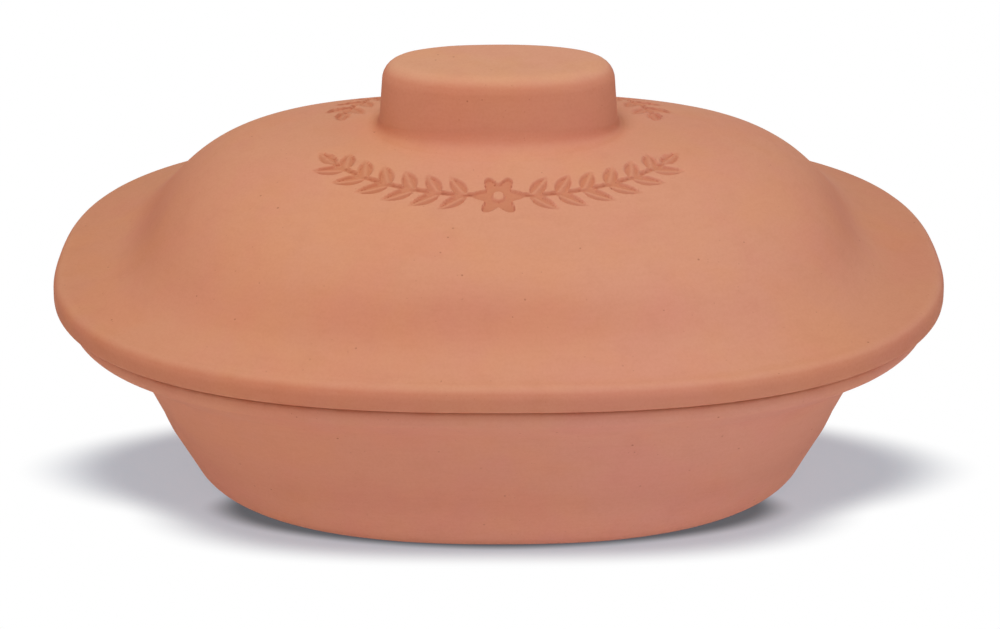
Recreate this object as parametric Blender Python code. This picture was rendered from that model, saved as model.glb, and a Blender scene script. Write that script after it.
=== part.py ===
"""Oval clay roaster: a roasting dish and a domed lid with a grip pressed in one piece with it.

Run with blender --background --python part.py, or from Blender's text editor.
Sizes are in metres, +X runs along the roaster and +Z is up. The origin is at the middle of the dish's base.
"""
import bmesh
import bpy
import numpy as np

# Lid outline and brim
LID_LENGTH = 0.360
LID_WIDTH = 0.264
LID_SQUARENESS = 2.50
BRIM_EDGE_HEIGHT = 0.0101
BRIM_TOP_RADIUS = 0.0050
BRIM_LOWER_RADIUS = 0.0020
BRIM_END_REACH = 0.0270
BRIM_SIDE_REACH = 0.0185
BRIM_END_RISE = 0.0003
BRIM_SIDE_RISE = 0.0087

# Dome, between the brim and the foot of the grip
DOME_RISE = 0.0531
LID_WALL = 0.0080
# Control points of the dome's curve: shares of its run and drop at the end, the same at the side, squareness
DOME_SHARES = (
    (0.505, 0.036, 0.197, 0.156, 2.22),
    (0.787, 0.455, 0.729, 0.467, 2.34),
    (0.899, 0.810, 0.899, 0.794, 2.76),
    (1.030, 1.000, 1.000, 1.000, 2.85),
)

# Grip on top of the lid
GRIP_LENGTH = 0.0930
GRIP_WIDTH = 0.0500
GRIP_HEIGHT = 0.0275
GRIP_SQUARENESS = 2.28
GRIP_END_DRAFT = 0.0012
GRIP_SIDE_DRAFT = 0.0040
GRIP_EDGE_RADIUS = 0.0082
GRIP_END_FOOT_RADIUS = 0.0042
GRIP_SIDE_FOOT_RADIUS = 0.0105
GRIP_FOOT_SLOPE = 12.0
GRIP_HOLLOW_RADIUS = 0.0040

# Seat between the two pieces
SEAT_GAP = 0.0003
RIDGE_CLEARANCE = 0.0020
RIDGE_WIDTH = 0.0060
RIDGE_DEPTH = 0.0050
RIDGE_DRAFT = 0.0015
RIDGE_RADIUS = 0.0015

# Roasting dish
DISH_HEIGHT = 0.0780
DISH_WALL = 0.0080
DISH_FLOOR = 0.0090
RIM_END_INSET = 0.0060
RIM_SIDE_INSET = 0.0015
RIM_SQUARENESS = 2.60
RIM_THICKNESS = 0.0060
RIM_END_OVERHANG = 0.0240
RIM_SIDE_OVERHANG = 0.0116
RIM_END_UNDERCUT = 0.0040
RIM_SIDE_UNDERCUT = 0.0100
RIM_LOWER_RADIUS = 0.0060
RIM_UPPER_RADIUS = 0.0015
RIM_NECK_RADIUS = 0.0150
MOUTH_RADIUS = 0.0020
WALL_SQUARENESS = 2.95
WALL_END_LEAN = 0.0240
WALL_SIDE_LEAN = 0.0245
WALL_BULGE = 0.0011
WALL_BULGE_RADIUS = 0.150
BASE_SQUARENESS = 2.42
BASE_RADIUS = 0.0100
FLOOR_RADIUS = 0.0200

# Rounded corners: the most of a side that one takes, and the flat beside one in radii
SIDE_SHARE = 0.48
FLAT_SHARE = 2.2

# Faceting
SEGMENTS = 64
ROUND_STEPS = 4
EDGE_STEPS = 2
DOME_STEPS = 3
INSIDE_STEPS = 8
SHARP_ANGLE = 35.0

# Clay colour as linear values
LID_CLAY = (0.66, 0.285, 0.170, 1.0)
DISH_CLAY = (0.65, 0.275, 0.175, 1.0)
CLAY_ROUGHNESS = 0.92


def clear_scene():
    for obj in list(bpy.data.objects):
        bpy.data.objects.remove(obj, do_unlink=True)


def clay(name, colour):
    material = bpy.data.materials.new(name)
    material.use_nodes = True
    shader = material.node_tree.nodes["Principled BSDF"]
    shader.inputs["Base Color"].default_value = colour
    shader.inputs["Roughness"].default_value = CLAY_ROUGHNESS
    shader.inputs["Metallic"].default_value = 0.0
    return material


# Ovals. A row is half length, half width, squareness, height at the ends and height at the sides.


def oval(row):
    """Points of a superellipse, its height changing smoothly between the ends and the sides."""
    half_length, half_width, squareness, end_height, side_height = row
    turn = np.linspace(0.0, 2.0 * np.pi, SEGMENTS, endpoint=False)
    along, across = np.cos(turn), np.sin(turn)
    reach = (np.abs(along) ** squareness + np.abs(across) ** squareness) ** (-1.0 / squareness)
    height = side_height * across**2 + end_height * along**2
    return np.stack([half_length * reach * along, half_width * reach * across, height], axis=1)


def oval_solid(name, rows, material):
    """One closed solid skinned over the rows, with a flat cap on the first and the last."""
    mesh = bmesh.new()
    rings = [[mesh.verts.new(point) for point in oval(row)] for row in rows]
    for lower, upper in zip(rings, rings[1:]):
        for i in range(SEGMENTS):
            j = (i + 1) % SEGMENTS
            mesh.faces.new((lower[i], lower[j], upper[j], upper[i]))
    mesh.faces.new(rings[0])
    mesh.faces.new(rings[-1])
    bmesh.ops.recalc_face_normals(mesh, faces=mesh.faces)
    data = bpy.data.meshes.new(name)
    mesh.to_mesh(data)
    mesh.free()
    data.shade_smooth()
    data.set_sharp_from_angle(angle=np.radians(SHARP_ANGLE))
    data.materials.append(material)
    obj = bpy.data.objects.new(name, data)
    bpy.context.scene.collection.objects.link(obj)
    return obj


# Profiles


def corner_arc(before, corner, after, radius, steps):
    """Points of the arc that rounds a corner, its radius limited by the two sides."""
    before, corner, after = np.array(before), np.array(corner), np.array(after)
    back, ahead = before - corner, after - corner
    back_length, ahead_length = np.linalg.norm(back), np.linalg.norm(ahead)
    back, ahead = back / back_length, ahead / ahead_length
    half_angle = 0.5 * np.arccos(np.clip(back @ ahead, -1.0, 1.0))
    reach = min(radius / np.tan(half_angle), SIDE_SHARE * back_length, SIDE_SHARE * ahead_length)
    radius = reach * np.tan(half_angle)
    centre = corner + (back + ahead) / np.linalg.norm(back + ahead) * radius / np.sin(half_angle)
    first, last = corner + back * reach - centre, corner + ahead * reach - centre
    sweep = np.pi - 2.0 * half_angle
    share = np.linspace(0.0, 1.0, steps + 1)[:, None]
    return centre + (first * np.sin((1.0 - share) * sweep) + last * np.sin(share * sweep)) / np.sin(sweep)


def rounded(points, radii, steps):
    """A profile through the points, each inner corner rounded by its radius in its number of steps."""
    arcs = [
        corner_arc(before, corner, after, radius, count)
        for before, corner, after, radius, count in zip(points, points[1:], points[2:], radii, steps)
    ]
    return np.concatenate([[points[0]], *arcs, [points[-1]]])


def joined(end_profile, side_profile, squareness):
    """Rows from an end profile and a side profile of equally many points."""
    return [
        (end[0], side[0], power, end[1], side[1])
        for end, side, power in zip(end_profile, side_profile, squareness)
    ]


def arc(start_degrees, end_degrees, radius, steps):
    """Offsets along an arc round a centre, as pairs of outward distance and height."""
    turn = np.radians(np.linspace(start_degrees, end_degrees, steps + 1))
    return np.stack([radius * np.cos(turn), radius * np.sin(turn)], axis=1)


def offset_rows(half_length, half_width, squareness, height, offsets):
    """Rows of one oval widened and raised by each offset."""
    return [(half_length + d, half_width + d, squareness, height + z, height + z) for d, z in offsets]


def smooth_curve(controls, steps):
    """Points on the cubic B-spline of the control points, from the first of them to the last."""
    controls = np.array(controls, dtype=float)
    lead_in = 2.0 * controls[0] - controls[1]
    lead_out = 2.0 * controls[-1] - controls[-2]
    points = np.concatenate([[lead_in], controls, [lead_out]])
    share = np.linspace(0.0, 1.0, steps, endpoint=False)[:, None]
    weights = (
        (1.0 - share) ** 3 / 6.0,
        (3.0 * share**3 - 6.0 * share**2 + 4.0) / 6.0,
        (-3.0 * share**3 + 3.0 * share**2 + 3.0 * share + 1.0) / 6.0,
        share**3 / 6.0,
    )
    spans = zip(points, points[1:], points[2:], points[3:])
    curve = [sum(weight * point for weight, point in zip(weights, span)) for span in spans]
    return np.concatenate([*curve, controls[-1:]])


def inward(profile, depth):
    """The profile moved inward and down by a depth, square to its own direction."""
    along = np.gradient(profile, axis=0)
    along /= np.linalg.norm(along, axis=1, keepdims=True)
    return profile + depth * np.stack([along[:, 1], -along[:, 0]], axis=1)


def trimmed(profile, limit, steps):
    """The profile resampled from its start to where its distance reaches the limit."""
    index = np.arange(len(profile))
    last = np.interp(limit, profile[:, 0], index)
    places = np.linspace(0.0, last, steps + 1)
    return np.stack([np.interp(places, index, profile[:, k]) for k in (0, 1)], axis=1)


# Sizes that follow from the ones above

LID_HALF_LENGTH = LID_LENGTH / 2.0
LID_HALF_WIDTH = LID_WIDTH / 2.0
GRIP_HALF_LENGTH = GRIP_LENGTH / 2.0
GRIP_HALF_WIDTH = GRIP_WIDTH / 2.0
FOOT_HALF_LENGTH = GRIP_HALF_LENGTH + GRIP_END_DRAFT + GRIP_END_FOOT_RADIUS
FOOT_HALF_WIDTH = GRIP_HALF_WIDTH + GRIP_SIDE_DRAFT + GRIP_SIDE_FOOT_RADIUS
LID_SEAT = DISH_HEIGHT + SEAT_GAP
BRIM_TOP = LID_SEAT + BRIM_EDGE_HEIGHT
GRIP_FOOT = BRIM_TOP + DOME_RISE
GRIP_TOP = GRIP_FOOT + GRIP_HEIGHT
RIM_HALF_LENGTH = LID_HALF_LENGTH - RIM_END_INSET
RIM_HALF_WIDTH = LID_HALF_WIDTH - RIM_SIDE_INSET
MOUTH_HALF_LENGTH = RIM_HALF_LENGTH - RIM_END_OVERHANG - DISH_WALL
MOUTH_HALF_WIDTH = RIM_HALF_WIDTH - RIM_SIDE_OVERHANG - DISH_WALL


# Lid


def grip_rows():
    """From the flat top over its rounded edge and down the drafted side to the fillet at the foot."""
    edge = GRIP_EDGE_RADIUS
    rounding = arc(90, 0, edge, ROUND_STEPS)
    top = offset_rows(
        GRIP_HALF_LENGTH - edge, GRIP_HALF_WIDTH - edge, GRIP_SQUARENESS, GRIP_TOP - edge, rounding
    )
    return top + grip_foot_rows(0.0)


def grip_foot_rows(depth):
    """Down the fillet at the grip's foot to the dome, at a depth below the lid's outer face."""
    turns = (180, 270 - GRIP_FOOT_SLOPE)
    end = arc(*turns, GRIP_END_FOOT_RADIUS + depth, ROUND_STEPS)
    side = arc(*turns, GRIP_SIDE_FOOT_RADIUS + depth, ROUND_STEPS)
    end += (FOOT_HALF_LENGTH, GRIP_FOOT + GRIP_END_FOOT_RADIUS)
    side += (FOOT_HALF_WIDTH, GRIP_FOOT + GRIP_SIDE_FOOT_RADIUS)
    return joined(end, side, [GRIP_SQUARENESS] * len(end))


def dome_controls():
    """Distance and height at the end, the same at the side, and squareness, from the grip's foot to the brim."""
    end_run = LID_HALF_LENGTH - BRIM_END_REACH - FOOT_HALF_LENGTH
    side_run = LID_HALF_WIDTH - BRIM_SIDE_REACH - FOOT_HALF_WIDTH
    end_drop, side_drop = DOME_RISE - BRIM_END_RISE, DOME_RISE - BRIM_SIDE_RISE
    controls = [(FOOT_HALF_LENGTH, GRIP_FOOT, FOOT_HALF_WIDTH, GRIP_FOOT, GRIP_SQUARENESS)]
    for end_out, end_fall, side_out, side_fall, squareness in DOME_SHARES:
        end = (FOOT_HALF_LENGTH + end_run * end_out, GRIP_FOOT - end_drop * end_fall)
        side = (FOOT_HALF_WIDTH + side_run * side_out, GRIP_FOOT - side_drop * side_fall)
        controls.append((*end, *side, squareness))
    edge = BRIM_TOP_RADIUS
    controls.append((LID_HALF_LENGTH - edge, BRIM_TOP, LID_HALF_WIDTH - edge, BRIM_TOP, LID_SQUARENESS))
    return controls


def brim_rows():
    """Round the brim's edge, from its top to the seat."""
    top, low = BRIM_TOP_RADIUS, BRIM_LOWER_RADIUS
    upper = offset_rows(
        LID_HALF_LENGTH - top, LID_HALF_WIDTH - top, LID_SQUARENESS, BRIM_TOP - top, arc(90, 0, top, ROUND_STEPS)
    )
    lower = offset_rows(
        LID_HALF_LENGTH - low, LID_HALF_WIDTH - low, LID_SQUARENESS, LID_SEAT + low, arc(0, -90, low, EDGE_STEPS)
    )
    return upper[1:] + lower


def ridge_rows():
    """Down the outer side of the ridge that locates the lid in the dish's mouth, and round its lower edge."""
    half_length = MOUTH_HALF_LENGTH - RIDGE_CLEARANCE
    half_width = MOUTH_HALF_WIDTH - RIDGE_CLEARANCE
    low = LID_SEAT - RIDGE_DEPTH
    corners = ((0.0, LID_SEAT), (-RIDGE_DRAFT, low), (-RIDGE_WIDTH, low), (-RIDGE_WIDTH, LID_SEAT))
    offsets = rounded(corners, (RIDGE_RADIUS, RIDGE_RADIUS), (EDGE_STEPS, EDGE_STEPS))
    return offset_rows(half_length, half_width, WALL_SQUARENESS, 0.0, offsets)


def lid_inside_rows(dome):
    """Up the inside of the dome, from the ridge to the roof of the hollow in the grip."""
    inner_length = MOUTH_HALF_LENGTH - RIDGE_CLEARANCE - RIDGE_WIDTH
    inner_width = MOUTH_HALF_WIDTH - RIDGE_CLEARANCE - RIDGE_WIDTH
    end = trimmed(inward(dome[:, 0:2], LID_WALL)[1:], inner_length, INSIDE_STEPS)
    side = trimmed(inward(dome[:, 2:4], LID_WALL)[1:], inner_width, INSIDE_STEPS)
    squareness = np.linspace(GRIP_SQUARENESS, WALL_SQUARENESS, INSIDE_STEPS + 1)
    under_dome = joined(end, side, squareness)[::-1]
    under_grip = grip_foot_rows(LID_WALL)[::-1]
    bend = GRIP_HOLLOW_RADIUS
    inset = LID_WALL + bend
    roof = GRIP_TOP - LID_WALL - bend
    half_length, half_width = GRIP_HALF_LENGTH - inset, GRIP_HALF_WIDTH - inset
    hollow = offset_rows(half_length, half_width, GRIP_SQUARENESS, roof, arc(0, 90, bend, EDGE_STEPS))
    return under_dome + under_grip + hollow


def build_lid():
    dome = smooth_curve(dome_controls(), DOME_STEPS)
    dome_top = joined(dome[:, 0:2], dome[:, 2:4], dome[:, 4])
    rows = grip_rows() + dome_top[1:] + brim_rows() + ridge_rows() + lid_inside_rows(dome)
    return oval_solid("lid", rows, clay("lid_clay", LID_CLAY))


# Roasting dish


def dish_profile(rim_half, overhang, undercut, lean):
    """Corners, radii, steps and squareness of the dish, from the base out to the rim and in to the floor."""
    wall_top = rim_half - overhang
    base = wall_top - lean
    mouth = wall_top - DISH_WALL
    neck = DISH_HEIGHT - RIM_THICKNESS - undercut
    belly = (base + wall_top) / 2.0 + WALL_BULGE
    floor_foot = base + lean * DISH_FLOOR / neck - DISH_WALL
    belly_squareness = (BASE_SQUARENESS + WALL_SQUARENESS) / 2.0
    return (
        ((base - FLAT_SHARE * BASE_RADIUS, 0.0), 0.0, 0, BASE_SQUARENESS),
        ((base, 0.0), BASE_RADIUS, ROUND_STEPS, BASE_SQUARENESS),
        ((belly, neck / 2.0), WALL_BULGE_RADIUS, EDGE_STEPS, belly_squareness),
        ((wall_top, neck), RIM_NECK_RADIUS, ROUND_STEPS, WALL_SQUARENESS),
        ((rim_half, DISH_HEIGHT - RIM_THICKNESS), RIM_LOWER_RADIUS, ROUND_STEPS, RIM_SQUARENESS),
        ((rim_half, DISH_HEIGHT), RIM_UPPER_RADIUS, EDGE_STEPS, RIM_SQUARENESS),
        ((mouth, DISH_HEIGHT), MOUTH_RADIUS, EDGE_STEPS, WALL_SQUARENESS),
        ((floor_foot, DISH_FLOOR), FLOOR_RADIUS, ROUND_STEPS, BASE_SQUARENESS),
        ((floor_foot - FLAT_SHARE * FLOOR_RADIUS, DISH_FLOOR), 0.0, 0, BASE_SQUARENESS),
    )


def build_dish():
    end = dish_profile(RIM_HALF_LENGTH, RIM_END_OVERHANG, RIM_END_UNDERCUT, WALL_END_LEAN)
    side = dish_profile(RIM_HALF_WIDTH, RIM_SIDE_OVERHANG, RIM_SIDE_UNDERCUT, WALL_SIDE_LEAN)
    end_points, radii, steps, squareness = zip(*end)
    side_points = [corner[0] for corner in side]
    end_curve = rounded(end_points, radii[1:-1], steps[1:-1])
    side_curve = rounded(side_points, radii[1:-1], steps[1:-1])
    powers = np.repeat(squareness, [count + 1 for count in steps])
    return oval_solid("roasting_dish", joined(end_curve, side_curve, powers), clay("dish_clay", DISH_CLAY))


def main():
    clear_scene()
    build_dish()
    build_lid()


main()
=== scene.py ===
"""Looks of an oval clay roaster: its lid and dish as fine meshes of unglazed clay, with floor and light."""
import math

import bpy
import numpy as np
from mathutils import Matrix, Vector, noise


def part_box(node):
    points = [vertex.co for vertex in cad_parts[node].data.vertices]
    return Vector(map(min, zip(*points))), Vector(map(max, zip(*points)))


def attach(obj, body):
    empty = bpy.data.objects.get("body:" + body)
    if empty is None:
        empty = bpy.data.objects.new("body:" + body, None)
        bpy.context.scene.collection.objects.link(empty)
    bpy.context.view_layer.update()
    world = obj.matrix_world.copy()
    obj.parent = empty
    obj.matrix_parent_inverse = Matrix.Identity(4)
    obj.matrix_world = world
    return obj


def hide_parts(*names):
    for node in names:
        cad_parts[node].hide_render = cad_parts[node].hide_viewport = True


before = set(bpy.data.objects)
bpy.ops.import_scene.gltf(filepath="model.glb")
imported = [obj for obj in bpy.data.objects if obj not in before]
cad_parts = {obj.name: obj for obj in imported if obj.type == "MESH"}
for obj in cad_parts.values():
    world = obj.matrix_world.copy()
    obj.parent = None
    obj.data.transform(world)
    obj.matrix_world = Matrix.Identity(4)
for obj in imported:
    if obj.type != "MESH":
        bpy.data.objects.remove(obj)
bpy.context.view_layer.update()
_, lid_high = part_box("lid")
_, dish_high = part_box("roasting_dish")

# Sizes that the frame gives, in metres
LID_HALF_LENGTH, LID_HALF_WIDTH, GRIP_TOP = lid_high
RIM_HALF_LENGTH, RIM_HALF_WIDTH, DISH_HEIGHT = dish_high

# Lid outline and brim
LID_SQUARENESS = 2.50
BRIM_EDGE_HEIGHT = 0.0101
BRIM_TOP_RADIUS = 0.0050
BRIM_LOWER_RADIUS = 0.0020
BRIM_END_REACH = 0.0270
BRIM_SIDE_REACH = 0.0185
BRIM_END_RISE = 0.0003
BRIM_SIDE_RISE = 0.0087

# Dome, between the brim and the foot of the grip
DOME_RISE = 0.0531
LID_WALL = 0.0080
# Control points of the dome's curve: shares of its run and drop at the end, the same at the side, squareness
DOME_SHARES = (
    (0.505, 0.036, 0.197, 0.156, 2.22),
    (0.787, 0.455, 0.729, 0.467, 2.34),
    (0.899, 0.810, 0.899, 0.794, 2.76),
    (1.030, 1.000, 1.000, 1.000, 2.85),
)

# Grip on top of the lid
GRIP_LENGTH = 0.0930
GRIP_WIDTH = 0.0500
GRIP_SQUARENESS = 2.28
GRIP_END_DRAFT = 0.0012
GRIP_SIDE_DRAFT = 0.0040
GRIP_EDGE_RADIUS = 0.0082
GRIP_END_FOOT_RADIUS = 0.0042
GRIP_SIDE_FOOT_RADIUS = 0.0105
GRIP_FOOT_SLOPE = 12.0
GRIP_HOLLOW_RADIUS = 0.0040

# Seat between the two pieces
SEAT_GAP = 0.0003
RIDGE_CLEARANCE = 0.0020
RIDGE_WIDTH = 0.0060
RIDGE_DEPTH = 0.0050
RIDGE_DRAFT = 0.0015
RIDGE_RADIUS = 0.0015

# Roasting dish
DISH_WALL = 0.0080
DISH_FLOOR = 0.0090
RIM_SQUARENESS = 2.60
RIM_THICKNESS = 0.0060
RIM_END_OVERHANG = 0.0240
RIM_SIDE_OVERHANG = 0.0116
RIM_END_UNDERCUT = 0.0040
RIM_SIDE_UNDERCUT = 0.0100
RIM_LOWER_RADIUS = 0.0060
RIM_UPPER_RADIUS = 0.0015
RIM_NECK_RADIUS = 0.0150
MOUTH_RADIUS = 0.0020
WALL_SQUARENESS = 2.95
WALL_END_LEAN = 0.0240
WALL_SIDE_LEAN = 0.0245
WALL_BULGE = 0.0011
WALL_BULGE_RADIUS = 0.150
BASE_SQUARENESS = 2.42
BASE_RADIUS = 0.0100
FLOOR_RADIUS = 0.0200

# Rounded corners: the most of a side that one takes, and the flat beside one in radii
SIDE_SHARE = 0.48
FLAT_SHARE = 2.2

# Fineness of the meshes
SEGMENTS = 256
BAND_SEGMENTS = 1024
ROUND_STEPS = 8
EDGE_STEPS = 4
CURVE_STEPS = 40
DOME_ROWS_BEFORE_BAND = 2
DOME_ROWS_AFTER_BAND = 34
INSIDE_STEPS = 24
CAP_SHARES = (0.85, 0.6, 0.3)
SHARP_ANGLE = 35.0
BISECTIONS = 24

# Unevenness of the pressed clay, always inward, the size of its swells, and where it fades out
SWELL_DEPTH = 0.00040
SWELL_SIZE = 0.055
RIPPLE_DEPTH = 0.00010
RIPPLE_SIZE = 0.012
STILL_DISTANCE = 0.0040
LID_SEED = 3.1
DISH_SEED = 7.7

# Curvature, in radians per metre, from which an edge or a recess shows, and at which it shows fully. It is
# smoothed over three rows by these weights, and measured over no shorter distance than this.
EDGE_CURVATURES = (90.0, 500.0)
# The recess share is painted shade, darkening concave creases
RECESS_CURVATURES = (60.0, 300.0)
ROW_WEIGHTS = (0.25, 0.5, 0.25)
LEAST_DISTANCE = 1e-6

# How far from the seat the clay is darkened with painted shade, where the two pieces meet
LID_SEAT_SHADE = 0.0012
DISH_SEAT_SHADE = 0.0036

# Band of fine rows that holds the ornament, by its distance from the grip's foot along the side's profile
BAND_START = 0.0008
BAND_END = 0.0300
BAND_ROWS = 72

# Leafy ornament pressed into the dome, in front of the grip and behind it, on ovals round the grip. The lean
# is in degrees.
FRONT_HALF_LENGTH = 0.0755
REAR_HALF_LENGTH = 0.0640
ORNAMENT_HALF_WIDTH = 0.0563
ORNAMENT_REACH = 0.030
ORNAMENT_DEPTH = 0.00115
ORNAMENT_SHOULDER = 0.00085
# Share of painted shade inside the pressed ornament
ORNAMENT_SHADE = 0.90
LEAF_LENGTH = 0.0122
LEAF_WIDTH = 0.0052
LEAF_PITCH = 0.0102
LEAF_LEAN = 44.0
FRONT_LEAF_PAIRS = 6
REAR_LEAF_PAIRS = 7
LEAF_TAPER = 0.8
FIRST_LEAF_SHARE = 0.25
VEIN_WIDTH = 0.00085
VEIN_SHARE = 0.62
STEM_WIDTH = 0.0017
ROSETTE_PETALS = 6
ROSETTE_RADIUS = 0.0098
ROSETTE_WAVE = 0.20
ROSETTE_HEART = 0.0024

# Clay colours as linear values: on steep faces, darker with painted shade, and on faces that look up, paler
# with dust and painted light
LID_SIDE = (0.59, 0.218, 0.126, 1.0)
LID_TOP = (0.69, 0.31, 0.188, 1.0)
DISH_SIDE = (0.635, 0.258, 0.167, 1.0)
DISH_TOP = (0.69, 0.33, 0.205, 1.0)
DUST_AND_TOP_LIGHT_SLOPES = (0.47, 1.0)
WORN_COLOUR = (0.74, 0.40, 0.26, 1.0)
WORN_SHARE = 0.16

# Tints that multiply the colour, with the limits between which they come in: heights and distances in metres,
# or slopes
# Painted shade: the clay is darker and deeper towards both ends, where the dome falls to the brim
END_SHADE = (0.96, 0.92, 0.88)
END_SHADE_REACH = (0.060, 0.160)
# Painted light and shade by side: warmer painted shade on the left, and painted light on steep faces on the
# right
LEFT_SHADE_TINT = (1.00, 1.00, 0.96)
RIGHT_LIGHT_TINT = (1.05, 1.12, 1.22)
RIGHT_LIGHT_SLOPES = (1.0, 0.70)
SIDE_REACH = 0.080
# Painted highlight: the grip's top is paler, as if lit from above
GRIP_TOP_HIGHLIGHT = (1.01, 1.09, 1.09)
GRIP_TOP_HIGHLIGHT_HEIGHTS = (0.1500, 0.1650)
# Painted light from the floor: the dish is paler towards its base
BASE_BOUNCE_LIGHT = (1.25, 1.35, 1.43)
BASE_BOUNCE_HEIGHTS = (0.030, 0.002)

# Tints of the mottling, of the painted shade in recesses, at the seat and in the pressed ornament, and of the
# grain, and the sizes of what they mark in metres
ORANGE_TINT = (1.01, 1.00, 0.94)
PINK_TINT = (1.00, 0.96, 1.00)
BLOTCH_TINT = (0.98, 0.97, 0.96)
STREAK_TINT = (0.985, 0.975, 0.965)
RECESS_SHADE_TINT = (0.88, 0.74, 0.66)
GRAIN_TINT = (0.98, 0.96, 0.945)
GRIT_TINT = (0.87, 0.81, 0.78)
# Painted shade in the small pits
PIT_SHADE_TINT = (0.72, 0.62, 0.56)
CLOUD_SIZE = 0.034
BLOTCH_SIZE = 0.011
STREAK_SIZE = 0.0012
GRAIN_SIZE = 0.0011
GRIT_SPACING = 0.0034
GRIT_RADIUS = 0.00034
PIT_SPACING = 0.0070
PIT_RADIUS = 0.00055
GRIT_CORE = 0.6

# Surface of the clay
BUMP_STRENGTH = 0.16
BUMP_DEPTH = 0.00025
CLAY_ROUGHNESS = (0.86, 0.98)
CLAY_SPECULAR = 0.35

# Noise: its detail, where the second clouds lie, and the values between which each mark comes in
NOISE_DETAIL = 3.0
NOISE_ROUGHNESS = 0.55
PINK_OFFSET = (0.37, 0.11, 0.23)
STREAK_STRETCH = (0.12, 0.12, 1.0)
CLOUD_LIMITS = (0.42, 0.66)
BLOTCH_LIMITS = (0.50, 0.72)
STREAK_LIMITS = (0.35, 0.75)
WORN_LIMITS = (0.35, 0.65)
GRAIN_LIMITS = (0.35, 0.70)
GRIT_LIMITS = (0.50, 0.60)

# Floor: white to the camera, apart from a painted shadow, in which the floor is dimmed and keeps the lamps'
# real shadow, and which also glows a little with painted light. Each oval of the painted shadow has its
# middle line, two half axes, squareness, and the share of the half axes at which its edge begins to fade. The
# pale ones lie beside, in front of and behind the roaster, and the dark ones, a painted contact shadow, at
# its base.
FLOOR_HALF = 4.0
FLOOR_CLEARANCE = 0.0003
FLOOR_COLOUR = (0.93, 0.93, 0.94, 1.0)
WHITE = (1.0, 1.0, 1.0, 1.0)
SHADE_COLOUR = (0.40, 0.41, 0.43, 1.0)
SHADE_GLOW = (0.80, 0.89, 1.0, 1.0)
SHADE_GLOW_STRENGTH = 0.394
PALE_SHADOWS = (
    (-0.027, 0.202, 0.063, 1.85, 0.78),
    (-0.037, 0.155, 0.0715, 3.0, 0.77),
    (0.042, 0.130, 0.062, 3.0, 0.77),
)
CONTACT_SHADOWS = (
    (-0.060, 0.121, 0.035, 1.85, 0.85),
    (0.060, 0.121, 0.035, 1.85, 0.85),
)
CONTACT_LIGHT = 0.27

# Soft lights: name, place, target, width and height, and watts
LIGHTS = (
    ("overhead", (-0.06, -0.25, 1.06), (0.0, 0.0, 0.08), (0.6, 0.5), 6.1),
    ("low_front", (0.0, -0.90, 0.10), (0.0, 0.0, 0.04), (1.4, 0.2), 2.0),
    ("left", (-1.60, -0.20, 0.50), (0.0, 0.0, 0.08), (0.8, 0.8), 4.2),
    ("right", (1.60, -0.20, 0.50), (0.0, 0.0, 0.08), (0.8, 0.8), 5.1),
)
WORLD_STRENGTH = 0.20

# Camera, as the photograph was taken, for a picture of 1000 by 629
CAMERA_ELEVATION = 25.0
CAMERA_DISTANCE = 1.10
CAMERA_AIM = (0.0006, 0.0, 0.0574)
CAMERA_SENSOR = 36.0
CAMERA_LENS = 95.63


# Ovals. A row is half length, half width, squareness, height at the ends and height at the sides.


def oval(row, segments):
    """Points of a superellipse, its height changing smoothly between the ends and the sides."""
    half_length, half_width, squareness, end_height, side_height = row
    turn = np.linspace(0.0, 2.0 * np.pi, segments, endpoint=False)
    along, across = np.cos(turn), np.sin(turn)
    reach = (np.abs(along) ** squareness + np.abs(across) ** squareness) ** (-1.0 / squareness)
    height = side_height * across**2 + end_height * along**2
    return np.stack([half_length * reach * along, half_width * reach * across, height], axis=1)


def corner_arc(before, corner, after, radius, steps):
    """Points of the arc that rounds a corner, its radius limited by the two sides."""
    before, corner, after = np.array(before), np.array(corner), np.array(after)
    back, ahead = before - corner, after - corner
    back_length, ahead_length = np.linalg.norm(back), np.linalg.norm(ahead)
    back, ahead = back / back_length, ahead / ahead_length
    half_angle = 0.5 * np.arccos(np.clip(back @ ahead, -1.0, 1.0))
    reach = min(radius / np.tan(half_angle), SIDE_SHARE * back_length, SIDE_SHARE * ahead_length)
    radius = reach * np.tan(half_angle)
    centre = corner + (back + ahead) / np.linalg.norm(back + ahead) * radius / np.sin(half_angle)
    first, last = corner + back * reach - centre, corner + ahead * reach - centre
    sweep = np.pi - 2.0 * half_angle
    share = np.linspace(0.0, 1.0, steps + 1)[:, None]
    return centre + (first * np.sin((1.0 - share) * sweep) + last * np.sin(share * sweep)) / np.sin(sweep)


def rounded(points, radii, steps):
    """A profile through the points, each inner corner rounded by its radius in its number of steps."""
    arcs = [
        corner_arc(before, corner, after, radius, count)
        for before, corner, after, radius, count in zip(points, points[1:], points[2:], radii, steps)
    ]
    return np.concatenate([[points[0]], *arcs, [points[-1]]])


def joined(end_profile, side_profile, squareness):
    """Rows from an end profile and a side profile of equally many points."""
    return [
        (end[0], side[0], power, end[1], side[1])
        for end, side, power in zip(end_profile, side_profile, squareness)
    ]


def arc(start_degrees, end_degrees, radius, steps):
    """Offsets along an arc round a centre, as pairs of outward distance and height."""
    turn = np.radians(np.linspace(start_degrees, end_degrees, steps + 1))
    return np.stack([radius * np.cos(turn), radius * np.sin(turn)], axis=1)


def offset_rows(half_length, half_width, squareness, height, offsets):
    """Rows of one oval widened and raised by each offset."""
    return [(half_length + d, half_width + d, squareness, height + z, height + z) for d, z in offsets]


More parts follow.
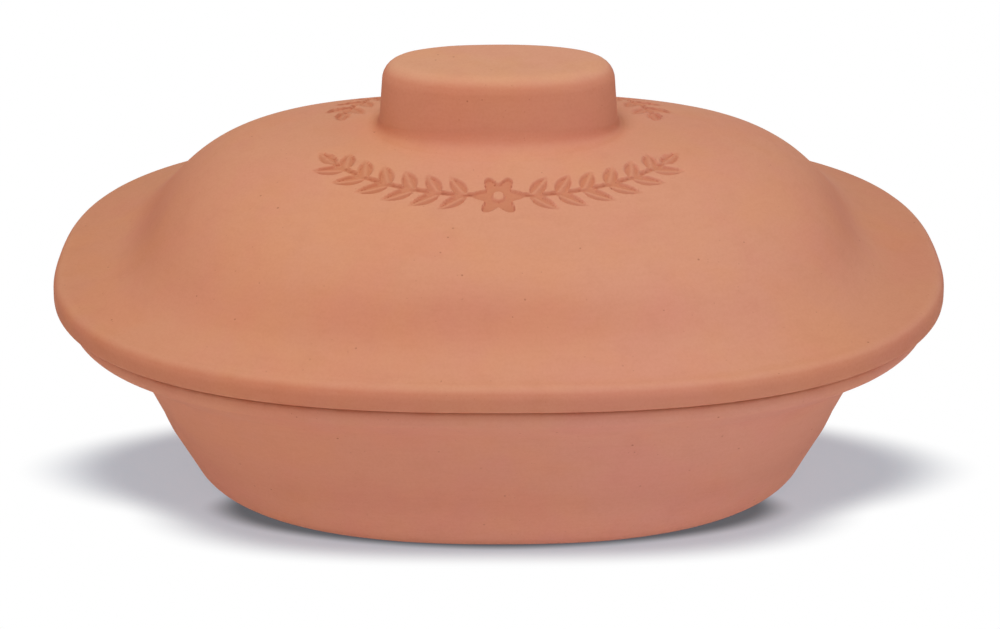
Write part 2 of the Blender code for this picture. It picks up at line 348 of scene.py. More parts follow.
def smooth_curve(controls, steps):
    """Points on the cubic B-spline of the control points, from the first of them to the last."""
    controls = np.array(controls, dtype=float)
    lead_in = 2.0 * controls[0] - controls[1]
    lead_out = 2.0 * controls[-1] - controls[-2]
    points = np.concatenate([[lead_in], controls, [lead_out]])
    share = np.linspace(0.0, 1.0, steps, endpoint=False)[:, None]
    weights = (
        (1.0 - share) ** 3 / 6.0,
        (3.0 * share**3 - 6.0 * share**2 + 4.0) / 6.0,
        (-3.0 * share**3 + 3.0 * share**2 + 3.0 * share + 1.0) / 6.0,
        share**3 / 6.0,
    )
    spans = zip(points, points[1:], points[2:], points[3:])
    curve = [sum(weight * point for weight, point in zip(weights, span)) for span in spans]
    return np.concatenate([*curve, controls[-1:]])


def inward(profile, depth):
    """The profile moved inward and down by a depth, square to its own direction."""
    along = np.gradient(profile, axis=0)
    along /= np.linalg.norm(along, axis=1, keepdims=True)
    return profile + depth * np.stack([along[:, 1], -along[:, 0]], axis=1)


def trimmed(profile, limit, steps):
    """The profile resampled from its start to where its distance reaches the limit."""
    index = np.arange(len(profile))
    last = np.interp(limit, profile[:, 0], index)
    places = np.linspace(0.0, last, steps + 1)
    return np.stack([np.interp(places, index, profile[:, k]) for k in (0, 1)], axis=1)


def cap_rows(row):
    """Rows that close an oval towards its middle."""
    half_length, half_width, squareness, end_height, side_height = row
    return [(half_length * s, half_width * s, squareness, end_height, side_height) for s in CAP_SHARES]


# Sizes that follow from the ones above

LID_SEAT = DISH_HEIGHT + SEAT_GAP
BRIM_TOP = LID_SEAT + BRIM_EDGE_HEIGHT
GRIP_FOOT = BRIM_TOP + DOME_RISE
GRIP_HALF_LENGTH = GRIP_LENGTH / 2.0
GRIP_HALF_WIDTH = GRIP_WIDTH / 2.0
FOOT_HALF_LENGTH = GRIP_HALF_LENGTH + GRIP_END_DRAFT + GRIP_END_FOOT_RADIUS
FOOT_HALF_WIDTH = GRIP_HALF_WIDTH + GRIP_SIDE_DRAFT + GRIP_SIDE_FOOT_RADIUS
MOUTH_HALF_LENGTH = RIM_HALF_LENGTH - RIM_END_OVERHANG - DISH_WALL
MOUTH_HALF_WIDTH = RIM_HALF_WIDTH - RIM_SIDE_OVERHANG - DISH_WALL


# Lid


def grip_rows():
    """From the flat top over its rounded edge and down the drafted side to the fillet at the foot."""
    edge = GRIP_EDGE_RADIUS
    rounding = arc(90, 0, edge, ROUND_STEPS)
    top = offset_rows(
        GRIP_HALF_LENGTH - edge, GRIP_HALF_WIDTH - edge, GRIP_SQUARENESS, GRIP_TOP - edge, rounding
    )
    return top + grip_foot_rows(0.0)


def grip_foot_rows(depth):
    """Down the fillet at the grip's foot to the dome, at a depth below the lid's outer face."""
    turns = (180, 270 - GRIP_FOOT_SLOPE)
    end = arc(*turns, GRIP_END_FOOT_RADIUS + depth, ROUND_STEPS)
    side = arc(*turns, GRIP_SIDE_FOOT_RADIUS + depth, ROUND_STEPS)
    end += (FOOT_HALF_LENGTH, GRIP_FOOT + GRIP_END_FOOT_RADIUS)
    side += (FOOT_HALF_WIDTH, GRIP_FOOT + GRIP_SIDE_FOOT_RADIUS)
    return joined(end, side, [GRIP_SQUARENESS] * len(end))


def dome_controls():
    """End distance and height, side distance and height, and squareness, from the grip's foot to the brim."""
    end_run = LID_HALF_LENGTH - BRIM_END_REACH - FOOT_HALF_LENGTH
    side_run = LID_HALF_WIDTH - BRIM_SIDE_REACH - FOOT_HALF_WIDTH
    end_drop, side_drop = DOME_RISE - BRIM_END_RISE, DOME_RISE - BRIM_SIDE_RISE
    controls = [(FOOT_HALF_LENGTH, GRIP_FOOT, FOOT_HALF_WIDTH, GRIP_FOOT, GRIP_SQUARENESS)]
    for end_out, end_fall, side_out, side_fall, squareness in DOME_SHARES:
        end = (FOOT_HALF_LENGTH + end_run * end_out, GRIP_FOOT - end_drop * end_fall)
        side = (FOOT_HALF_WIDTH + side_run * side_out, GRIP_FOOT - side_drop * side_fall)
        controls.append((*end, *side, squareness))
    edge = BRIM_TOP_RADIUS
    brim = (LID_HALF_LENGTH - edge, BRIM_TOP, LID_HALF_WIDTH - edge, BRIM_TOP, LID_SQUARENESS)
    return [*controls, brim]


def dome_rows(dome):
    """Rows before the ornament's band, in it and after it, by their distance along the side's profile."""
    steps = np.hypot(np.diff(dome[:, 2]), np.diff(dome[:, 3]))
    travel = np.concatenate([[0.0], np.cumsum(steps)])
    before = np.linspace(0.0, BAND_START, DOME_ROWS_BEFORE_BAND, endpoint=False)[1:]
    band = np.linspace(BAND_START, BAND_END, BAND_ROWS)
    after = np.linspace(BAND_END, travel[-1], DOME_ROWS_AFTER_BAND + 1)[1:]
    rows = []
    for places in (before, band, after):
        columns = [np.interp(places, travel, dome[:, k]) for k in range(5)]
        rows.append(joined(np.stack(columns[0:2], axis=1), np.stack(columns[2:4], axis=1), columns[4]))
    return rows


def brim_arc(radius, height, start_degrees, end_degrees, steps):
    """Rows of an arc at the brim's edge, round a centre at a height."""
    turned = arc(start_degrees, end_degrees, radius, steps)
    return offset_rows(LID_HALF_LENGTH - radius, LID_HALF_WIDTH - radius, LID_SQUARENESS, height, turned)


def brim_rows():
    """Round the brim's edge, from its top to the seat."""
    upper = brim_arc(BRIM_TOP_RADIUS, BRIM_TOP - BRIM_TOP_RADIUS, 90, 0, ROUND_STEPS)
    lower = brim_arc(BRIM_LOWER_RADIUS, LID_SEAT + BRIM_LOWER_RADIUS, 0, -90, EDGE_STEPS)
    return upper[1:] + lower


def ridge_rows():
    """Down the outer side of the ridge that locates the lid in the dish's mouth, and round its lower edge."""
    half_length = MOUTH_HALF_LENGTH - RIDGE_CLEARANCE
    half_width = MOUTH_HALF_WIDTH - RIDGE_CLEARANCE
    low = LID_SEAT - RIDGE_DEPTH
    corners = ((0.0, LID_SEAT), (-RIDGE_DRAFT, low), (-RIDGE_WIDTH, low), (-RIDGE_WIDTH, LID_SEAT))
    offsets = rounded(corners, (RIDGE_RADIUS, RIDGE_RADIUS), (EDGE_STEPS, EDGE_STEPS))
    return offset_rows(half_length, half_width, WALL_SQUARENESS, 0.0, offsets)


def lid_inside_rows(dome):
    """Up the inside of the dome, from the ridge to the roof of the hollow in the grip."""
    inner_length = MOUTH_HALF_LENGTH - RIDGE_CLEARANCE - RIDGE_WIDTH
    inner_width = MOUTH_HALF_WIDTH - RIDGE_CLEARANCE - RIDGE_WIDTH
    end = trimmed(inward(dome[:, 0:2], LID_WALL)[1:], inner_length, INSIDE_STEPS)
    side = trimmed(inward(dome[:, 2:4], LID_WALL)[1:], inner_width, INSIDE_STEPS)
    squareness = np.linspace(GRIP_SQUARENESS, WALL_SQUARENESS, INSIDE_STEPS + 1)
    under_dome = joined(end, side, squareness)[::-1]
    under_grip = grip_foot_rows(LID_WALL)[::-1]
    bend = GRIP_HOLLOW_RADIUS
    inset = LID_WALL + bend
    roof = GRIP_TOP - LID_WALL - bend
    half_length, half_width = GRIP_HALF_LENGTH - inset, GRIP_HALF_WIDTH - inset
    hollow = offset_rows(half_length, half_width, GRIP_SQUARENESS, roof, arc(0, 90, bend, EDGE_STEPS))
    return under_dome + under_grip + hollow


def lid_rows():
    """Rows of the lid above the ornament's band, in it, and from below it round to the roof of the hollow."""
    dome = smooth_curve(dome_controls(), CURVE_STEPS)
    before, band, after = dome_rows(dome)
    grip = grip_rows()
    inside = lid_inside_rows(dome)
    above = cap_rows(grip[0])[::-1] + grip + before
    below = after + brim_rows() + ridge_rows() + inside + cap_rows(inside[-1])
    return above, band, below


# Roasting dish


def dish_profile(rim_half, overhang, undercut, lean):
    """Corners, radii, steps and squareness of the dish, from the base out to the rim and in to the floor."""
    wall_top = rim_half - overhang
    base = wall_top - lean
    mouth = wall_top - DISH_WALL
    neck = DISH_HEIGHT - RIM_THICKNESS - undercut
    belly = (base + wall_top) / 2.0 + WALL_BULGE
    floor_foot = base + lean * DISH_FLOOR / neck - DISH_WALL
    belly_squareness = (BASE_SQUARENESS + WALL_SQUARENESS) / 2.0
    return (
        ((base - FLAT_SHARE * BASE_RADIUS, 0.0), 0.0, 0, BASE_SQUARENESS),
        ((base, 0.0), BASE_RADIUS, ROUND_STEPS, BASE_SQUARENESS),
        ((belly, neck / 2.0), WALL_BULGE_RADIUS, ROUND_STEPS, belly_squareness),
        ((wall_top, neck), RIM_NECK_RADIUS, ROUND_STEPS, WALL_SQUARENESS),
        ((rim_half, DISH_HEIGHT - RIM_THICKNESS), RIM_LOWER_RADIUS, ROUND_STEPS, RIM_SQUARENESS),
        ((rim_half, DISH_HEIGHT), RIM_UPPER_RADIUS, EDGE_STEPS, RIM_SQUARENESS),
        ((mouth, DISH_HEIGHT), MOUTH_RADIUS, EDGE_STEPS, WALL_SQUARENESS),
        ((floor_foot, DISH_FLOOR), FLOOR_RADIUS, ROUND_STEPS, BASE_SQUARENESS),
        ((floor_foot - FLAT_SHARE * FLOOR_RADIUS, DISH_FLOOR), 0.0, 0, BASE_SQUARENESS),
    )


def dish_rows():
    """All rows of the dish, from the middle of its base to the middle of its floor."""
    end = dish_profile(RIM_HALF_LENGTH, RIM_END_OVERHANG, RIM_END_UNDERCUT, WALL_END_LEAN)
    side = dish_profile(RIM_HALF_WIDTH, RIM_SIDE_OVERHANG, RIM_SIDE_UNDERCUT, WALL_SIDE_LEAN)
    end_points, radii, steps, squareness = zip(*end)
    side_points = [corner[0] for corner in side]
    end_curve = rounded(end_points, radii[1:-1], steps[1:-1])
    side_curve = rounded(side_points, radii[1:-1], steps[1:-1])
    powers = np.repeat(squareness, [count + 1 for count in steps])
    rows = joined(end_curve, side_curve, powers)
    return cap_rows(rows[0])[::-1] + rows + cap_rows(rows[-1])


# Ornament, drawn by its distance along an oval round the grip and its distance across that oval


def band_places(points, half_length):
    """Distance of each point along the ornament's oval, from its middle in front or behind, and across it."""
    half_width, power = ORNAMENT_HALF_WIDTH, GRIP_SQUARENESS
    x, y = np.abs(points[:, 0]), np.abs(points[:, 1])
    low, high = np.full_like(x, -ORNAMENT_REACH), np.full_like(x, ORNAMENT_REACH)
    for _ in range(BISECTIONS):
        middle = (low + high) / 2.0
        outside = (x / (half_length + middle)) ** power + (y / (half_width + middle)) ** power > 1.0
        low, high = np.where(outside, middle, low), np.where(outside, high, middle)
    turn = np.arctan2(x / (half_length + low), y / (half_width + low))
    whole = oval((half_length, half_width, power, 0.0, 0.0), BAND_SEGMENTS)
    quarter = whole[: BAND_SEGMENTS // 4 + 1][::-1]
    travel = np.concatenate([[0.0], np.cumsum(np.linalg.norm(np.diff(quarter, axis=0), axis=1))])
    turns = np.linspace(0.0, np.pi / 2.0, len(quarter))
    return np.interp(turn, turns, travel), low


def pressed(distance):
    """How far the clay is pressed in, from 0 outside a shape to 1 inside it, over a soft shoulder."""
    share = np.clip(0.5 - distance / ORNAMENT_SHOULDER, 0.0, 1.0)
    return share * share * (3.0 - 2.0 * share)


def leaf(along, across, start, lean):
    """A leaf with a raised vein. It starts at a point of the stem and leans away from it."""
    turn = math.radians(lean)
    forward = (along - start) * math.cos(turn) + across * math.sin(turn)
    sideways = np.abs(across * math.cos(turn) - (along - start) * math.sin(turn))
    share = np.clip(forward / LEAF_LENGTH, 0.0, 1.0)
    half = LEAF_WIDTH / 2.0 * np.sin(np.pi * share**LEAF_TAPER)
    overshoot = np.maximum(np.maximum(-forward, forward - LEAF_LENGTH), 0.0)
    outside = np.hypot(np.maximum(sideways - half, 0.0), overshoot)
    inside = np.minimum(sideways - half, 0.0)
    vein = VEIN_SHARE * np.exp(-((sideways / VEIN_WIDTH) ** 2))
    return pressed(outside + inside) * (1.0 - vein)


def rosette(along, across):
    """A small flower with a raised heart."""
    radius = np.hypot(along, across)
    wave = np.cos(ROSETTE_PETALS * np.arctan2(across, along))
    edge = ROSETTE_RADIUS * (1.0 - ROSETTE_WAVE + ROSETTE_WAVE * wave)
    return pressed(np.maximum(radius - edge, ROSETTE_HEART - radius))


def garland(along, across, leaf_pairs):
    """Share of the ornament's depth: a rosette between two sprigs of leaves."""
    tip = ROSETTE_RADIUS + leaf_pairs * LEAF_PITCH
    beyond = np.maximum(ROSETTE_RADIUS - along, along - tip)
    stem = pressed(np.maximum(np.abs(across) - STEM_WIDTH / 2.0, beyond))
    share = np.maximum(stem, rosette(along, across))
    for k in range(leaf_pairs):
        start = ROSETTE_RADIUS + LEAF_PITCH * (k + FIRST_LEAF_SHARE)
        for lean in (LEAF_LEAN, -LEAF_LEAN):
            share = np.maximum(share, leaf(along, across, start, lean))
    return np.maximum(share, leaf(along, across, tip - STEM_WIDTH, 0.0))


def ornament(ring):
    """Share of the ornament's depth at every point of a ring: a garland in front, a longer one behind."""
    front = garland(*band_places(ring, FRONT_HALF_LENGTH), FRONT_LEAF_PAIRS)
    rear = garland(*band_places(ring, REAR_HALF_LENGTH), REAR_LEAF_PAIRS)
    return np.where(ring[:, 1] < 0.0, front, rear)


# Meshes


def uneven(ring, seed):
    """Moves points inward by gentle swells and small ripples, but not at the seat or at the base."""
    centre = Vector((0.0, 0.0, DISH_HEIGHT))
    shift = Vector((seed, 2.0 * seed, -seed))
    moved = np.empty_like(ring)
    for i, point in enumerate(ring):
        place = Vector(point)
        swell = 0.5 + 0.5 * noise.noise(place / SWELL_SIZE + shift)
        ripple = 0.5 + 0.5 * noise.noise(place / RIPPLE_SIZE + shift)
        still = min(abs(place.z - DISH_HEIGHT), place.z) / STILL_DISTANCE
        inset = (SWELL_DEPTH * swell + RIPPLE_DEPTH * ripple) * min(still, 1.0)
        moved[i] = place + (centre - place).normalized() * inset
    return moved


def bends(distances, heights):
    """Curvature along a profile of rows, positive where it is convex, smoothed over neighbouring rows."""
    out, up = np.diff(distances), np.diff(heights)
    lengths = np.maximum(np.hypot(out, up), LEAST_DISTANCE)
    turns = np.unwrap(np.arctan2(up, out))
    bend = np.zeros(len(distances))
    bend[1:-1] = np.diff(turns) / ((lengths[:-1] + lengths[1:]) / 2.0)
    return np.convolve(bend, ROW_WEIGHTS, mode="same")


def wear_and_shade(rows, counts, way):
    """For every point of every ring, how much of an edge it lies on, for wear, and how much of a recess, for
    painted shade.

    The way is 1 for rows that start under the body and go out, and -1 for rows that start on top of it.
    """
    _, _, _, end_heights, side_heights = zip(*rows)
    end = way * bends([row[0] for row in rows], end_heights)
    side = way * bends([row[1] for row in rows], side_heights)
    edges, recesses = [], []
    for end_bend, side_bend, count in zip(end, side, counts):
        across = np.sin(np.linspace(0.0, 2.0 * np.pi, count, endpoint=False)) ** 2
        bend = side_bend * across + end_bend * (1.0 - across)
        edges.append(np.interp(bend, EDGE_CURVATURES, (0.0, 1.0)))
        recesses.append(np.interp(-bend, RECESS_CURVATURES, (0.0, 1.0)))
    return edges, recesses


def with_seat_shade(recesses, rings, reach):
    """The recesses, with painted shade added beside the seat where the pieces meet, which fades out within a
    reach above or below it.
    """
    beside = [np.clip(1.0 - np.abs(ring[:, 2] - DISH_HEIGHT) / reach, 0.0, 1.0) for ring in rings]
    return [np.maximum(recess, seat_shade) for recess, seat_shade in zip(recesses, beside)]


def skin(name, rings, material):
    """One closed mesh over rings of points. One ring may have a whole multiple of its neighbour's points."""
    starts = np.cumsum([0] + [len(ring) for ring in rings])
    faces = [list(range(starts[1]))[::-1]]
    for k, (lower, upper) in enumerate(zip(rings, rings[1:])):
        coarse = min(len(lower), len(upper))
        low_parts, high_parts = len(lower) // coarse, len(upper) // coarse
        for i in range(coarse):
            low = [starts[k] + (i * low_parts + j) % len(lower) for j in range(low_parts + 1)]
            high = [starts[k + 1] + (i * high_parts + j) % len(upper) for j in range(high_parts + 1)]
            faces.append(low + high[::-1])
    faces.append(list(range(starts[-2], starts[-1])))
    data = bpy.data.meshes.new(name)
    data.from_pydata(np.concatenate(rings).tolist(), [], faces)
    data.validate()
    data.shade_smooth()
    data.set_sharp_from_angle(angle=math.radians(SHARP_ANGLE))
    data.materials.append(material)
    obj = bpy.data.objects.new(name, data)
    bpy.context.scene.collection.objects.link(obj)
    return obj


def mark(obj, name, values):
    """Keeps one number for each point of the mesh, for its material to read."""
    layer = obj.data.attributes.new(name, "FLOAT", "POINT")
    layer.data.foreach_set("value", np.concatenate(values).astype(np.float32))


def build_lid(material):
    """The lid, from the grip's top round the brim to the roof of the hollow, with the ornament pressed in."""
    above, band, below = lid_rows()
    rows = above + band + below
    counts = [SEGMENTS] * len(above) + [BAND_SEGMENTS] * len(band) + [SEGMENTS] * len(below)
    edges, recesses = wear_and_shade(rows, counts, -1.0)
    rings = [oval(row, count) for row, count in zip(rows, counts)]
    for k in range(len(above), len(above) + len(band)):
        share = ornament(rings[k])
        rings[k][:, 2] -= ORNAMENT_DEPTH * share
        # The pressed ornament is darkened with painted shade
        recesses[k] = np.maximum(recesses[k], ORNAMENT_SHADE * share)
    recesses = with_seat_shade(recesses, rings, LID_SEAT_SHADE)
    rings = [uneven(ring, LID_SEED) for ring in rings]
    obj = skin("clay_lid", rings[::-1], material)
    mark(obj, "edge", edges[::-1])
    mark(obj, "recess", recesses[::-1])
    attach(obj, "lid")
    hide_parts("lid")


def build_dish(material):
    """The dish, from the middle of its base over the rim to the middle of its floor."""
    rows = dish_rows()
    counts = [SEGMENTS] * len(rows)
    edges, recesses = wear_and_shade(rows, counts, 1.0)
    rings = [oval(row, SEGMENTS) for row in rows]
    recesses = with_seat_shade(recesses, rings, DISH_SEAT_SHADE)
    obj = skin("clay_dish", [uneven(ring, DISH_SEED) for ring in rings], material)
    mark(obj, "edge", edges)
    mark(obj, "recess", recesses)
    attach(obj, "dish")
    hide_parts("roasting_dish")


# Materials


def node(tree, kind, inputs, **settings):
    """Adds a node, sets its properties, and sets its inputs by name or links them where a socket is given."""
    made = tree.nodes.new(kind)
    for name, value in settings.items():
        setattr(made, name, value)
    for name, value in inputs.items():
        if isinstance(value, bpy.types.NodeSocket):
            tree.links.new(value, made.inputs[name])
        else:
            made.inputs[name].default_value = value
    return made


def between(tree, value, low, high):
    """A value brought smoothly from 0 at the low limit to 1 at the high one."""
    inputs = {"Value": value, "From Min": low, "From Max": high}
    return node(tree, "ShaderNodeMapRange", inputs, interpolation_type="SMOOTHSTEP").outputs["Result"]


def spots(tree, place, size):
    """Noise with spots of about a size in metres."""
    inputs = {"Vector": place, "Scale": 1.0 / size, "Detail": NOISE_DETAIL, "Roughness": NOISE_ROUGHNESS}
    return node(tree, "ShaderNodeTexNoise", inputs).outputs["Fac"]


def product(tree, first, second):
    return node(tree, "ShaderNodeMath", {0: first, 1: second}, operation="MULTIPLY").outputs[0]


def absolute(tree, value):
    return node(tree, "ShaderNodeMath", {0: value}, operation="ABSOLUTE").outputs[0]


def power(tree, value, exponent):
    return node(tree, "ShaderNodeMath", {0: value, 1: exponent}, operation="POWER").outputs[0]


def larger(tree, first, second):
    return node(tree, "ShaderNodeMath", {0: first, 1: second}, operation="MAXIMUM").outputs[0]


def mixed(tree, share, first, second, blend="MIX"):
    """The first colour, with the second one mixed in by the share."""
    inputs = {"Factor": share, "A": first, "B": second}
    return node(tree, "ShaderNodeMix", inputs, data_type="RGBA", blend_type=blend).outputs["Result"]


def tinted(tree, colour, share, tint):
    """The colour, multiplied by a tint by the share."""
    return mixed(tree, share, colour, (*tint, 1.0), "MULTIPLY")


def marked(tree, name):
    """The number that the mesh keeps for each point under a name."""
    return node(tree, "ShaderNodeAttribute", {}, attribute_name=name).outputs["Fac"]


def cells(tree, place, spacing, radius):
    """Grains scattered one to a cell: 1 in the core of a grain and 0 off it."""
    found = node(tree, "ShaderNodeTexVoronoi", {"Vector": place, "Scale": 1.0 / spacing})
    return between(tree, found.outputs["Distance"], radius / spacing, GRIT_CORE * radius / spacing)


def clay_colour(tree, place, side_colour, top_colour):
    """Fired clay, mottled from orange to pink: paler on upward faces with dust and painted light, darker on
    steep faces, at the ends and in recesses with painted shade, with painted light on the right and near the
    base, and a painted highlight on the grip's top.
    """
    facing = node(tree, "ShaderNodeNewGeometry", {}).outputs["Normal"]
    up = node(tree, "ShaderNodeSeparateXYZ", {"Vector": facing}).outputs["Z"]
    # Paler on faces that look up, from dust and painted light from above; steep faces keep the darker colour
    # of painted shade
    dust_and_top_light = between(tree, up, *DUST_AND_TOP_LIGHT_SLOPES)
    colour = mixed(tree, dust_and_top_light, side_colour, top_colour)
    parts = node(tree, "ShaderNodeSeparateXYZ", {"Vector": place})
    along, height = parts.outputs["X"], parts.outputs["Z"]
    # Painted shade towards both ends
    colour = tinted(tree, colour, between(tree, absolute(tree, along), *END_SHADE_REACH), END_SHADE)
    # Painted shade on the left and painted light on the right's steep faces
    colour = tinted(tree, colour, between(tree, along, SIDE_REACH, -SIDE_REACH), LEFT_SHADE_TINT)
    right = product(tree, between(tree, along, -SIDE_REACH, SIDE_REACH), between(tree, up, *RIGHT_LIGHT_SLOPES))
    colour = tinted(tree, colour, right, RIGHT_LIGHT_TINT)
    # Painted highlight on the grip's upward top
    grip_top_highlight = product(tree, between(tree, height, *GRIP_TOP_HIGHLIGHT_HEIGHTS), dust_and_top_light)
    colour = tinted(tree, colour, grip_top_highlight, GRIP_TOP_HIGHLIGHT)
    # Painted light from the floor, near the base
    colour = tinted(tree, colour, between(tree, height, *BASE_BOUNCE_HEIGHTS), BASE_BOUNCE_LIGHT)
    shifted = node(tree, "ShaderNodeMapping", {"Vector": place, "Location": PINK_OFFSET}).outputs["Vector"]
    drawn = node(tree, "ShaderNodeMapping", {"Vector": place, "Scale": STREAK_STRETCH}).outputs["Vector"]
    for where, size, limits, tint in (
        (place, CLOUD_SIZE, CLOUD_LIMITS, ORANGE_TINT),
        (shifted, CLOUD_SIZE, CLOUD_LIMITS, PINK_TINT),
        (shifted, BLOTCH_SIZE, BLOTCH_LIMITS, BLOTCH_TINT),
        (drawn, STREAK_SIZE, STREAK_LIMITS, STREAK_TINT),
    ):
        colour = tinted(tree, colour, between(tree, spots(tree, where, size), *limits), tint)
    # Painted shade in recesses, in the pressed ornament and at the seat
    colour = tinted(tree, colour, marked(tree, "recess"), RECESS_SHADE_TINT)
    rubbed = product(tree, marked(tree, "edge"), between(tree, spots(tree, place, BLOTCH_SIZE), *WORN_LIMITS))
    return mixed(tree, product(tree, rubbed, WORN_SHARE), colour, WORN_COLOUR)


def clay(name, side_colour, top_colour):
    """Unglazed fired clay, with sandy grain, dark grit and small pits darkened with painted shade."""
    material = bpy.data.materials.new(name)
    material.use_nodes = True
    tree = material.node_tree
    place = node(tree, "ShaderNodeTexCoord", {}).outputs["Object"]
    colour = clay_colour(tree, place, side_colour, top_colour)
    grain = spots(tree, place, GRAIN_SIZE)
    colour = tinted(tree, colour, between(tree, grain, *GRAIN_LIMITS), GRAIN_TINT)
    scarce = between(tree, spots(tree, place, BLOTCH_SIZE / 2.0), *GRIT_LIMITS)
    grit = product(tree, cells(tree, place, GRIT_SPACING, GRIT_RADIUS), scarce)
    colour = tinted(tree, colour, grit, GRIT_TINT)
    # Small pits, darkened with painted shade as well as pressed in by the bump
    pits = product(tree, cells(tree, place, PIT_SPACING, PIT_RADIUS), scarce)
    colour = tinted(tree, colour, pits, PIT_SHADE_TINT)
    relief = node(tree, "ShaderNodeMath", {0: grain, 1: pits}, operation="SUBTRACT").outputs[0]
    bump = node(tree, "ShaderNodeBump", {"Height": relief, "Strength": BUMP_STRENGTH, "Distance": BUMP_DEPTH})
    rough = {"Value": grain, "To Min": CLAY_ROUGHNESS[0], "To Max": CLAY_ROUGHNESS[1]}
    roughness = node(tree, "ShaderNodeMapRange", rough)
    shader = tree.nodes["Principled BSDF"]
    shader.inputs["Specular IOR Level"].default_value = CLAY_SPECULAR
    tree.links.new(colour, shader.inputs["Base Color"])
    tree.links.new(roughness.outputs["Result"], shader.inputs["Roughness"])
    tree.links.new(bump.outputs["Normal"], shader.inputs["Normal"])
    return material


# Stage


def build_camera():
    """The camera of the picture, which looks down on the roaster from the front."""
    turn = math.radians(CAMERA_ELEVATION)
    back = Vector((0.0, -math.cos(turn), math.sin(turn)))
    data = bpy.data.cameras.new("camera")
    data.sensor_fit = "HORIZONTAL"
    data.sensor_width = CAMERA_SENSOR
    data.lens = CAMERA_LENS
    camera = bpy.data.objects.new("camera", data)
    camera.location = Vector(CAMERA_AIM) + back * CAMERA_DISTANCE
    camera.rotation_euler = back.to_track_quat("Z", "Y").to_euler()
    bpy.context.scene.collection.objects.link(camera)
    bpy.context.scene.camera = camera


def off_oval(tree, middle, half_length, half_width, squareness, fade_start):
    """0 inside an oval on the floor, rising to 1 at its edge."""
    place = node(tree, "ShaderNodeTexCoord", {}).outputs["Object"]
    shares = {"Vector": place, "Scale": (1.0 / half_length, 1.0 / half_width, 0.0)}
    shares["Location"] = (0.0, -middle / half_width, 0.0)
    scaled = node(tree, "ShaderNodeMapping", shares).outputs["Vector"]
    parts = node(tree, "ShaderNodeSeparateXYZ", {"Vector": scaled}).outputs
    along = power(tree, absolute(tree, parts["X"]), squareness)
    across = power(tree, absolute(tree, parts["Y"]), squareness)
    total = node(tree, "ShaderNodeMath", {0: along, 1: across}, operation="ADD").outputs[0]
    return between(tree, power(tree, total, 1.0 / squareness), fade_start, 1.0)


def clear_of(tree, ovals):
    """0 inside any of the ovals, and 1 outside them all."""
    share = 1.0
    for oval_sizes in ovals:
        share = product(tree, share, off_oval(tree, *oval_sizes))
    return share


def floor_surface(tree):
    """What the camera sees of the floor: white, with a painted shadow beside the roaster and a painted
    contact shadow under its base, both keeping the lamps' real shadow.
    """
    lit = node(tree, "ShaderNodeBsdfDiffuse", {"Color": SHADE_COLOUR})
    # Painted light: a glow that lifts the shadow
    glow = node(tree, "ShaderNodeEmission", {"Color": SHADE_GLOW, "Strength": SHADE_GLOW_STRENGTH})
    shade = node(tree, "ShaderNodeAddShader", {0: lit.outputs[0], 1: glow.outputs[0]})
    # Painted contact shadow: the floor darkened near the base
    contact = clear_of(tree, CONTACT_SHADOWS)
    light = node(tree, "ShaderNodeMapRange", {"Value": contact, "To Min": CONTACT_LIGHT, "To Max": 1.0})
    shadow = node(tree, "ShaderNodeMixShader", {0: light.outputs[0], 2: shade.outputs[0]})
    white = node(tree, "ShaderNodeEmission", {"Color": WHITE, "Strength": 1.0})
    seen = {0: clear_of(tree, PALE_SHADOWS), 1: shadow.outputs[0], 2: white.outputs[0]}
    return node(tree, "ShaderNodeMixShader", seen).outputs[0]


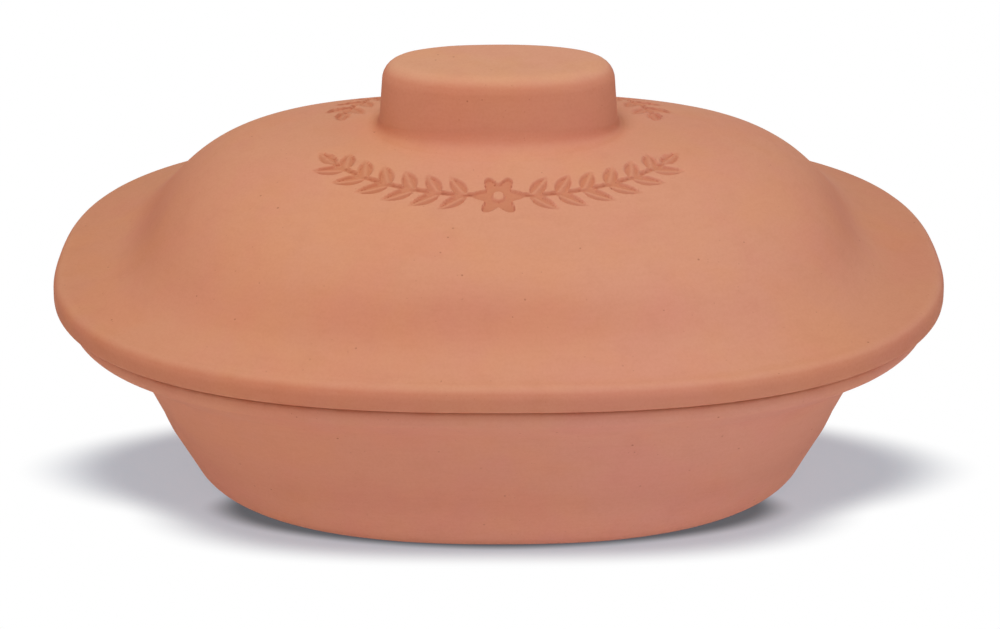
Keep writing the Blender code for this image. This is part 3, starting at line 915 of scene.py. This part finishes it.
def build_floor():
    """A wide floor under the roaster, pale to every ray but the camera's."""
    data = bpy.data.meshes.new("floor")
    corners = [(x * FLOOR_HALF, y * FLOOR_HALF, 0.0) for x, y in ((-1, -1), (1, -1), (1, 1), (-1, 1))]
    data.from_pydata(corners, [], [(0, 1, 2, 3)])
    material = bpy.data.materials.new("floor")
    material.use_nodes = True
    tree = material.node_tree
    tree.nodes.clear()
    lit = node(tree, "ShaderNodeBsdfDiffuse", {"Color": FLOOR_COLOUR}).outputs[0]
    camera_ray = node(tree, "ShaderNodeLightPath", {}).outputs["Is Camera Ray"]
    chosen = node(tree, "ShaderNodeMixShader", {0: camera_ray, 1: lit, 2: floor_surface(tree)})
    node(tree, "ShaderNodeOutputMaterial", {"Surface": chosen.outputs[0]})
    data.materials.append(material)
    floor = bpy.data.objects.new("floor", data)
    floor.location.z = -FLOOR_CLEARANCE
    bpy.context.scene.collection.objects.link(floor)


def build_world():
    """Soft light all round, and plain white where the camera, a reflection or a clear body shows it."""
    world = bpy.data.worlds.new("studio")
    bpy.context.scene.world = world
    world.use_nodes = True
    tree = world.node_tree
    tree.nodes.clear()
    rays = node(tree, "ShaderNodeLightPath", {}).outputs
    passed = larger(tree, rays["Is Glossy Ray"], rays["Is Transmission Ray"])
    seen = larger(tree, rays["Is Camera Ray"], passed)
    soft = node(tree, "ShaderNodeBackground", {"Color": WHITE, "Strength": WORLD_STRENGTH})
    white = node(tree, "ShaderNodeBackground", {"Color": WHITE, "Strength": 1.0})
    chosen = node(tree, "ShaderNodeMixShader", {0: seen, 1: soft.outputs[0], 2: white.outputs[0]})
    node(tree, "ShaderNodeOutputWorld", {"Surface": chosen.outputs[0]})


def area_light(name, place, target, size, energy):
    """A soft rectangular lamp at a place, turned to a target."""
    data = bpy.data.lights.new(name, "AREA")
    data.shape = "RECTANGLE"
    data.size, data.size_y = size
    data.energy = energy
    light = bpy.data.objects.new(name, data)
    light.location = place
    light.rotation_euler = (Vector(place) - Vector(target)).to_track_quat("Z", "Y").to_euler()
    bpy.context.scene.collection.objects.link(light)


def build_lights():
    for name, place, target, size, energy in LIGHTS:
        area_light(name, place, target, size, energy)


def main():
    build_dish(clay("dish_clay", DISH_SIDE, DISH_TOP))
    build_lid(clay("lid_clay", LID_SIDE, LID_TOP))
    build_camera()
    build_floor()
    build_world()
    build_lights()
    bpy.context.scene.view_settings.view_transform = "Standard"


main()
